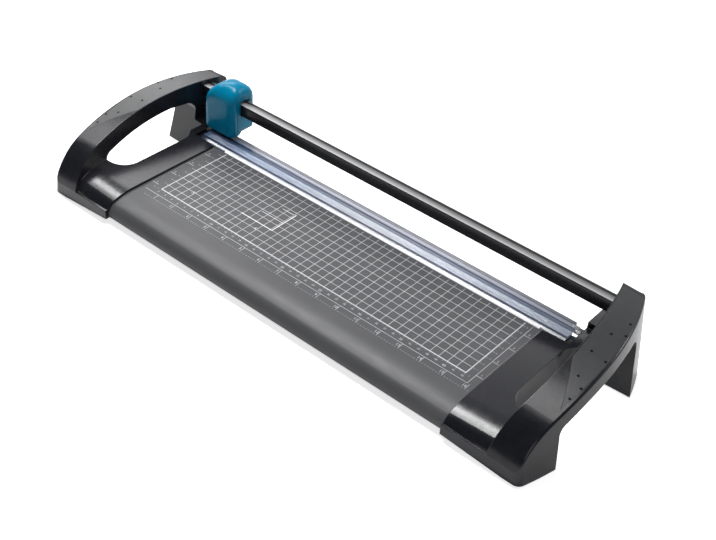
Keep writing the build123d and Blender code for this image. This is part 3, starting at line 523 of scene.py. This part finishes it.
def roll_line(lift, steps=24):
    """Front of the plate as y and z, raised by lift along its normal.

    The angle grows evenly, first over the large arc and then over the nose;
    each arc adds radius * (sin, cos) of the angle.
    """
    first = np.radians(np.linspace(0, roll_turn, steps))
    second = np.radians(np.linspace(roll_turn, nose_turn, steps))[1:]
    big = roll_radius + lift
    small = nose_radius + lift
    y1 = plate_front - big * np.sin(first)
    z1 = lift - big * (1 - np.cos(first))
    y2 = y1[-1] - small * (np.sin(second) - np.sin(first[-1]))
    z2 = z1[-1] - small * (np.cos(first[-1]) - np.cos(second))
    return np.stack([np.append(y1, y2), np.append(z1, z2)], 1)


def plate_line():
    """Section of the plate: its top, the rolled front, a straight skirt and the inside."""
    outer = roll_line(0.0)
    inner = roll_line(-plate_sheet)
    outer_y = outer[-1, 0]
    inner_y = inner[-1, 0]
    skirt = outer[-1, 1] - skirt_drop
    hem = [
        (outer_y, skirt + hem_edge),
        (outer_y + hem_edge, skirt),
        (inner_y - hem_edge, skirt),
        (inner_y, skirt + hem_edge),
    ]
    return np.vstack([[(plate_back, 0.0)], outer, hem, inner[::-1], [(plate_back, -plate_sheet)]])


plate = smooth(carried("plate_sheet", plate_line(), -half_plate, half_plate), sharp_from=32.0)
dress(plate, plate_paint, "bed")
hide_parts("bed_plate")


# Printed grid, rulers and numbers, drawn from the front left corner of the grid
grid_left = -199.75
grid_long = 400.0
grid_deep = 95.5
tens_along = np.arange(10, 400, 10)
tens_back = np.arange(10, 91, 10)
inch = 25.4
first_inch = 31.8
first_side_inch = 3.5
inches = first_inch + inch * np.arange(-1, 16)
eighths = first_inch + inch / 8 * np.arange(-12, 125)
side_inches = first_side_inch + inch * np.arange(0, 4)
side_eighths = first_side_inch + inch / 8 * np.arange(0, 29)
centimetre_zero = -19.0
half_centimetres = centimetre_zero + np.arange(10, 430, 5)
frame_right = 401.2
frame_end = 401.7
frame_low = -0.6
right_scale = 410.0
front_scale = -10.0
ruler_end = -18.5
mark_end = -18.6
grid_width = 0.52
frame_width = 1.1
front_width = 1.3
scale_width = 0.45
inch_width = 0.40
side_width = 0.5
eighth_width = 0.34
tick_width = 0.3
fine_width = 0.28
bold_width = 0.9
ink_bottom = -0.02
ink_top = 0.03
bright_top = 0.035

# Numbers: the height of their type, and where they stand
number_depth = 0.02
number_lift = 0.012
inch_type = 5.0
inch_type_y = -14.2
inch_type_left = 2.8
fifth_type = 4.0
fifth_type_y = -6.4
centimetre_type = 3.1
centimetre_type_y = -5.4
side_type = 3.6
side_type_up = 3.2
side_type_xs = (414.0, -14.0)
row_type = 2.4
row_type_xs = (406.6, -6.0)
format_type = 6.0


def lines_across(xs, y0, y1, width):
    """Lines across the plate at each x, as boxes."""
    xs = np.asarray(xs, float)
    rows = np.stack([xs - width / 2, xs + width / 2, 0 * xs + y0, 0 * xs + y1], 1)
    return rows + [grid_left, grid_left, 0, 0]


def lines_along(ys, x0, x1, width):
    """Lines along the plate at each y, as boxes."""
    ys = np.asarray(ys, float)
    rows = np.stack([0 * ys + x0, 0 * ys + x1, ys - width / 2, ys + width / 2], 1)
    return rows + [grid_left, grid_left, 0, 0]


def number(text, size, x, y):
    """A number laid flat on the plate with its middle at x, y: points and faces."""
    curve = bpy.data.curves.new("number", "FONT")
    curve.body = text
    curve.size = size
    curve.align_x = "CENTER"
    curve.align_y = "CENTER"
    curve.resolution_u = 2
    curve.extrude = number_depth
    holder = added("number", curve)
    mesh = bpy.data.meshes.new_from_object(holder)
    points = read_rows(mesh.vertices, "co", 3) + [x + grid_left, y, number_lift]
    faces = [tuple(face.vertices) for face in mesh.polygons]
    bpy.data.objects.remove(holder)
    bpy.data.meshes.remove(mesh)
    return points, faces


def front_numbers():
    """Numbers of the front rulers: inches 1 to 16, and centimetres 2 to 42 with large fives."""
    numbers = []
    for k in range(1, 17):
        numbers.append(number(str(k), inch_type, first_inch - inch_type_left + inch * (k - 1), inch_type_y))
    for k in range(2, 43):
        x = centimetre_zero + 10 * k
        if k % 5 == 0:
            numbers.append(number(str(k), fifth_type, x, fifth_type_y))
        else:
            numbers.append(number(str(k), centimetre_type, x, centimetre_type_y))
    return numbers


def side_numbers():
    """Numbers of both side rulers, in inches and in centimetres, and of two sheet sizes."""
    numbers = []
    for k, y in enumerate(side_inches, 1):
        numbers += [number(str(k), side_type, x, y + side_type_up) for x in side_type_xs]
    for k in range(1, 10):
        numbers += [number(str(k), row_type, x, 10.0 * k) for x in row_type_xs]
    numbers.append(number("6", format_type, 118.0, 20.5))
    numbers.append(number("5", format_type, 28.0, 19.0))
    return numbers


ink_lines = np.vstack([
    lines_across(tens_along, 0, grid_deep, grid_width),
    lines_along(tens_back, 0, grid_long, grid_width),
    lines_across([0.0, frame_right], frame_low, grid_deep, frame_width),
    lines_along([0.0], 0, frame_end, front_width),
    lines_across([right_scale], front_scale, grid_deep, scale_width),
    lines_along([front_scale], -14, 410.2, scale_width),
    lines_across(inches, ruler_end, front_scale, inch_width),
    lines_across(eighths, mark_end, -17.3, eighth_width),
    lines_across(half_centimetres, -2.4, frame_low, fine_width),
    lines_along(side_inches, right_scale, 418.5, side_width),
    lines_along(side_eighths, 417.2, 418.6, eighth_width),
    lines_along(side_inches, ruler_end, -9, side_width),
    lines_along(side_eighths, mark_end, -17.2, eighth_width),
    lines_along(tens_back, 402, 404.5, tick_width),
    lines_along(tens_back, -4.0, -1.0, tick_width),
])
bright_lines = np.vstack([
    lines_along([30.0], 88.7, 132.4, bold_width),
    lines_across([132.0], 29.6, 67.0, bold_width),
    lines_along([47.0], 102.0, 131.0, side_width),
    lines_along([65.5], 114.0, 129.0, side_width),
])
ink_pieces = [slabs(ink_lines, ink_bottom, ink_top)] + front_numbers() + side_numbers()
grid = build("printed_grid", *joined(ink_pieces))
dress(grid, print_ink, "bed")
format_marks = build("printed_format_marks", *slabs(bright_lines, ink_bottom, bright_top))
dress(format_marks, bright_ink, "bed")


# Round nubs on the grip pads, coloured near black as painted shade
nub_radius = 1.45
nub_height = 0.52
nub_flat = 0.12
nub_root = 0.5
nub_lift = 0.02
tip_edges = 20
tip_edge_length = 0.0015


def nub_tips(node):
    """Tips of the nubs of a pad, in the bed: corners where many short edges meet."""
    mesh = merged_mesh(node)
    points = read_rows(mesh.vertices, "co", 3)
    ends = read_rows(mesh.edges, "vertices", 2, int)
    bpy.data.meshes.remove(mesh)
    length = np.linalg.norm(points[ends[:, 0]] - points[ends[:, 1]], axis=1)
    longest = np.zeros(len(points))
    np.maximum.at(longest, ends[:, 0], length)
    np.maximum.at(longest, ends[:, 1], length)
    shared = np.bincount(ends.ravel(), minlength=len(points))
    return in_bed(points[(shared >= tip_edges) & (longest < tip_edge_length)])


def domes(tips, around=16, rings=5):
    """Closed low domes under their tips: z falls by height * share^2.

    The share of the radius grows evenly from a small flat on the tip to 1, and
    a last ring goes straight down into the pad.
    """
    share = np.append(np.linspace(nub_flat, 1, rings), 1)[:, None]
    turn = np.linspace(0, 2 * np.pi, around, endpoint=False)
    dome = np.empty((rings + 1, around, 3))
    dome[:, :, 0] = nub_radius * share * np.cos(turn)
    dome[:, :, 1] = nub_radius * share * np.sin(turn)
    dome[:, :, 2] = nub_lift - nub_height * share ** 2
    dome[-1, :, 2] -= nub_root
    faces = tube_faces(rings + 1, around)
    return joined([(dome.reshape(-1, 3) + tip, faces) for tip in tips])


for side in ("right", "left"):
    nubs = smooth(build("grip_nubs_" + side, *domes(nub_tips("grip_pad_" + side))), sharp_from=50.0)
    dress(nubs, nub_painted_shade, "bed")


# Clear clamp with fine ribs, and a front lip made milky white as a painted highlight
half_clamp = 243.3
clamp_front = 96.5
clamp_back = 118.3
clamp_low = 0.4
clamp_top = 3.8
clamp_spine = 5.0
seam_floor = 4.7
fine_ribs = 5
ribs_front = 102.6
ribs_width = 8.8
rib_depth = 0.45
lip_back = 98.9
# The lip's painted highlight runs from lip_left to lip_right
lip_left = -204.0
lip_right = 216.0


def clamp_line():
    """Section of the clamp: low lip, rise to the bar, waves across it and the spine.

    The waves are top - depth * (1 - cos(2 pi n s)) / 2 for s from 0 to 1.
    """
    s = np.linspace(0, 1, fine_ribs * 8 + 1)
    waves_y = ribs_front + ribs_width * s
    waves_z = clamp_top - rib_depth * (1 - np.cos(2 * np.pi * fine_ribs * s)) / 2
    front = [
        (clamp_front, clamp_low),
        (clamp_front, clamp_low + 0.45),
        (clamp_front + 0.15, clamp_low + 0.62),
        (lip_back, 1.62),
        (101.0, 2.6),
        (101.4, 3.3),
        (102.0, clamp_top),
    ]
    spine = [
        (111.9, clamp_top),
        (112.3, 4.2),
        (112.7, 4.75),
        (113.1, clamp_spine),
        (114.6, clamp_spine),
        (114.9, seam_floor),
        (115.4, seam_floor),
        (115.7, clamp_spine),
        (117.9, clamp_spine),
        (clamp_back, 4.6),
        (clamp_back, clamp_low),
    ]
    return np.vstack([front, np.stack([waves_y, waves_z], 1), spine])


clamp_ends = (-half_clamp, lip_left, lip_right, half_clamp)
clamp = smooth(carried("clear_clamp", clamp_line(), *clamp_ends), sharp_from=25.0)
dress(clamp, clear_bar, "clamp")
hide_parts("paper_clamp")
middle_x, middle_y = face_middles(clamp).T[:2]
# The faces of the lip between those ends get its painted highlight
on_lip = (middle_y < lip_back) & (middle_x > lip_left) & (middle_x < lip_right)
second_finish(clamp, lip_painted_highlight, on_lip)


# Cutting mat with its groove
half_mat = 236.2
mat_middle = 127.2
mat_width = 8.8
mat_top = -0.2
mat_bottom = -2.2
mat_edge = 0.3
groove_width = 1.4
groove_depth = 0.9


def mat_line():
    """Section of the mat: bevelled top edges and a round-bottomed groove.

    The groove is top - depth * sin(pi t) for t from 0 to 1 across its width.
    """
    t = np.linspace(0, 1, 13)
    groove = np.stack([mat_middle + groove_width * (t - 0.5), mat_top - groove_depth * np.sin(np.pi * t)], 1)
    mat_front = mat_middle - mat_width / 2
    mat_back = mat_middle + mat_width / 2
    front = [(mat_front, mat_bottom), (mat_front, mat_top - mat_edge), (mat_front + mat_edge, mat_top)]
    rear = [(mat_back - mat_edge, mat_top), (mat_back, mat_top - mat_edge), (mat_back, mat_bottom)]
    return np.vstack([front, groove, rear])


mat = smooth(carried("cutting_mat_strip", mat_line(), -half_mat, half_mat), sharp_from=40.0)
dress(mat, mat_pale, "bed")
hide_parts("cutting_mat")


# Guide rail with a crowned top and a groove
half_rail = 282.0
rail_front = 128.3
rail_back = 140.1
rail_bottom = 31.0
rail_top = 46.4
rail_edge = 0.6
crown_front = rail_front + 0.7
crown_width = 5.6
crown_fall = 0.65
slot_front = 135.0
slot_back = 138.2
slot_edge = 0.2
slot_flare = 0.15
slot_floor = rail_top - 0.85
painted_light_from = rail_top - 1.0


def rail_line():
    """Section of the rail; the front of its top falls away as fall * (1 - s)^2."""
    s = np.linspace(0, 1, 13)
    crown = np.stack([crown_front + crown_width * s, rail_top - crown_fall * (1 - s) ** 2], 1)
    front = [
        (rail_front + rail_edge, rail_bottom),
        (rail_front, rail_bottom + rail_edge),
        (rail_front, rail_top - 1.3),
        (rail_front + 0.25, rail_top - 0.9),
    ]
    slot = [
        (slot_front - slot_flare, rail_top),
        (slot_front, rail_top - slot_edge),
        (slot_front, slot_floor),
        (slot_back, slot_floor),
        (slot_back, rail_top - slot_edge),
        (slot_back + slot_flare, rail_top),
    ]
    rear = [
        (rail_back - rail_edge, rail_top),
        (rail_back, rail_top - rail_edge),
        (rail_back, rail_bottom + rail_edge),
        (rail_back - rail_edge, rail_bottom),
    ]
    return np.vstack([front, crown, slot, rear])


rail = smooth(carried("grooved_rail", rail_line(), -half_rail, half_rail), sharp_from=40.0)
dress(rail, rail_dark, "bed")
# Faces of the rail's top get its painted light: painted highlight, painted shade in the groove
second_finish(rail, rail_top_painted_light, face_middles(rail)[:, 2] > painted_light_from)
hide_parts("guide_rail")


# Head: its hood with the loose triangles joined, shaded smoothly over the curves
hood_mesh = merged_mesh("head_shell")
hood_mesh.materials.clear()
if "custom_normal" in hood_mesh.attributes:
    hood_mesh.attributes.remove(hood_mesh.attributes["custom_normal"])
hood = smooth(added("head_hood", hood_mesh), sharp_from=28.0)
dress(hood, head_teal, "head")
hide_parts("head_shell")


# Springs between the carriage and the hood
spring_xs = (-235.0, -221.0)
spring_y = 133.5
spring_foot = 49.9
spring_height = 8.6
spring_radius = 2.6
spring_wire = 0.6
spring_turns = 5
spring_ease = 0.20


def coils(steps_a_turn=28, sides=8):
    """Wire wound round each spring axis, with its end turns closer together.

    At t from 0 to 1 the wire's middle is at the angle 2 pi turns t and at the
    height t - ease * sin(2 pi t) / (2 pi), which climbs slowly at both ends.
    """
    steps = spring_turns * steps_a_turn
    t = np.linspace(0, 1, steps)[:, None]
    eased = t - spring_ease * np.sin(2 * np.pi * t) / (2 * np.pi)
    turn = 2 * np.pi * spring_turns * t
    ring = np.linspace(0, 2 * np.pi, sides, endpoint=False)[None, :]
    wire = spring_wire / 2
    reach = spring_radius + wire * np.cos(ring)
    height = spring_foot + (spring_height - spring_wire) * eased + wire + wire * np.sin(ring)
    faces = tube_faces(steps, sides)
    parts = []
    for x in spring_xs:
        points = np.stack([x + reach * np.cos(turn), spring_y + reach * np.sin(turn), height], -1)
        parts.append((points.reshape(-1, 3), faces))
    return joined(parts)


springs = smooth(build("wound_springs", *coils()), sharp_from=50.0)
dress(springs, spring_steel, "carriage")
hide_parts("press_springs")
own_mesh(springs)


# Floor: pale and matt, and white where nothing shades it
floor_half = 6.0
floor_height = -0.0002
floor_dark = (0.84, 0.84, 0.85)
floor_light = (0.86, 0.86, 0.86)
floor_glows = [
    (0.70, ["Is Camera Ray"]),
    (0.25, ["Is Glossy Ray", "Is Transmission Ray"]),
]


def any_of(nodes, links, seen, *kinds):
    """1 where a ray is of one of the kinds, else 0."""
    result = seen.outputs[kinds[0]]
    for kind in kinds[1:]:
        either = nodes.new("ShaderNodeMath")
        either.operation = "MAXIMUM"
        links.new(result, either.inputs[0])
        links.new(seen.outputs[kind], either.inputs[1])
        result = either.outputs["Value"]
    return result


def emission(nodes, strength):
    """White light of one strength."""
    light = nodes.new("ShaderNodeEmission")
    light.inputs["Strength"].default_value = strength
    return light.outputs["Emission"]


def added_shader(nodes, links, one, other):
    """Two shaders added."""
    both = nodes.new("ShaderNodeAddShader")
    links.new(one, both.inputs[0])
    links.new(other, both.inputs[1])
    return both.outputs["Shader"]


def floor_material():
    """Pale matt floor with a glow that only some kinds of ray see."""
    material, nodes, links, surface, place = shader("floor_white")
    surface.inputs["Roughness"].default_value = 0.9
    surface.inputs["Specular IOR Level"].default_value = 0.1
    clouds = noise_of(nodes, links, place, 3.0)
    links.new(tinted(nodes, links, clouds, floor_dark, floor_light), surface.inputs["Base Color"])
    seen = nodes.new("ShaderNodeLightPath")
    glows = []
    for strength, kinds in floor_glows:
        pick = nodes.new("ShaderNodeMixShader")
        links.new(any_of(nodes, links, seen, *kinds), pick.inputs["Fac"])
        links.new(emission(nodes, 0.0), pick.inputs[1])
        links.new(emission(nodes, strength), pick.inputs[2])
        glows.append(pick.outputs["Shader"])
    shine = added_shader(nodes, links, *glows)
    whole = added_shader(nodes, links, surface.outputs["BSDF"], shine)
    links.new(whole, nodes["Material Output"].inputs["Surface"])
    return material


floor_mesh = bpy.data.meshes.new("floor")
floor_corners = [(-1, -1), (1, -1), (1, 1), (-1, 1)]
floor_points = [(floor_half * x, floor_half * y, floor_height) for x, y in floor_corners]
floor_mesh.from_pydata(floor_points, [], [(0, 1, 2, 3)])
floor_mesh.materials.append(floor_material())
floor = added("floor", floor_mesh)


# Room: white to the camera, and dark in front to light behind in reflections
room_front = (0.30, (0.030, 0.031, 0.040))
room_back = (1.0, (0.92, 0.93, 0.97))
room_steps = ((0.60, 0.12), (0.74, 0.45), (0.84, 0.62))
room_blue = 1.05
ambient_grey = (0.14, 0.14, 0.15)

world = bpy.data.worlds.new("studio")
bpy.context.scene.world = world
world.use_nodes = True
room_nodes = world.node_tree.nodes
room_links = world.node_tree.links
direction = room_nodes.new("ShaderNodeTexCoord").outputs["Generated"]
split = room_nodes.new("ShaderNodeSeparateXYZ")
room_links.new(direction, split.inputs["Vector"])
room = room_nodes.new("ShaderNodeValToRGB")
room_marks = room.color_ramp.elements
for mark, (position, colour) in zip(room_marks, (room_front, room_back)):
    mark.position = position
    mark.color = (*colour, 1)
for position, grey in room_steps:
    mark = room_marks.new(position)
    mark.color = (grey, grey, room_blue * grey, 1)
depth = between(room_nodes, room_links, split.outputs["Y"], 0, 1, -1.0, 1.0)
room_links.new(depth, room.inputs["Fac"])
seen = room_nodes.new("ShaderNodeLightPath")
white = any_of(room_nodes, room_links, seen, "Is Camera Ray", "Is Transmission Ray")
ambient = room_nodes.new("ShaderNodeMix")
ambient.data_type = "RGBA"
ambient.inputs["A"].default_value = (*ambient_grey, 1)
room_links.new(seen.outputs["Is Glossy Ray"], ambient.inputs["Factor"])
room_links.new(room.outputs["Color"], ambient.inputs["B"])
shown = room_nodes.new("ShaderNodeMix")
shown.data_type = "RGBA"
shown.inputs["B"].default_value = (1, 1, 1, 1)
room_links.new(white, shown.inputs["Factor"])
room_links.new(ambient.outputs["Result"], shown.inputs["A"])
room_links.new(shown.outputs["Result"], room_nodes["Background"].inputs["Color"])
room_nodes["Background"].inputs["Strength"].default_value = 1.0


# Lamps: places and sizes in metres, power in watts
strip_height = 1.25


def soft_lamp(name, place, aim, width, depth, power, colour=(1, 1, 1)):
    """A large soft lamp turned towards a point, with its width along the bed."""
    lamp = bpy.data.lights.new(name, "AREA")
    lamp.shape = "RECTANGLE"
    lamp.size = width
    lamp.size_y = depth
    lamp.energy = power
    lamp.color = colour
    holder = added(name, lamp)
    away = (Vector(place) - Vector(aim)).normalized()
    side = (Vector((1, 0, 0)) - away.x * away).normalized()
    turned = Matrix((side, away.cross(side), away)).transposed().to_4x4()
    holder.matrix_world = Matrix.Translation(Vector(place)) @ turned
    holder.visible_camera = False


def strip(name, x, y, width, depth, power):
    """A soft lamp that looks straight down."""
    soft_lamp(name, (x, y, strip_height), (x, y, 0.0), width, depth, power)


strip("strip_bright", -0.40, 0.09, 0.42, 0.24, 8.4)
strip("strip_left", -0.98, 0.09, 0.72, 0.24, 10.5)
strip("strip_right", 0.06, 0.06, 0.48, 0.30, 2.2)
strip("strip_far", -1.65, 0.12, 0.60, 0.40, 2.3)
left_half = (-0.25, 0.0, 0.05)
soft_lamp("far_left", (-1.92, 1.00, 1.20), left_half, 0.9, 0.8, 9.0)
soft_lamp("near_left", (-1.22, 0.82, 1.22), left_half, 0.5, 0.4, 1.9)
soft_lamp("back_lamp", (-0.90, 1.42, 1.25), (-0.10, 0.1, 0.05), 1.3, 0.30, 2.2)
soft_lamp("rim_lamp", (0.95, 1.20, 1.25), (0.25, 0.0, 0.05), 0.6, 0.35, 6.0, (1.0, 0.99, 0.96))
soft_lamp("front_fill", (0.8, -1.5, 0.9), (0.1, 0.0, 0.0), 1.2, 0.9, 4.2)


# Camera, in the bed, from the measured view of the printed grid
camera_place = (596.745, -684.751, 728.759)
camera_right = (0.75878, 0.64814, 0.06456)
camera_up = (-0.44295, 0.44080, 0.78069)
camera_back = (0.47754, -0.62098, 0.62157)
turned = np.eye(4)
turned[:3, :3] = (np.array([camera_right, camera_up, camera_back]) @ bed_axes).T
turned[:3, 3] = placed(camera_place)
lens = bpy.data.cameras.new("camera")
lens.sensor_width = 36.0
lens.lens = 59.79
lens.clip_start = 0.05
camera = added("camera", lens)
camera.matrix_world = Matrix(turned.tolist())
bpy.context.scene.camera = camera
bpy.context.scene.view_settings.view_transform = "Standard"
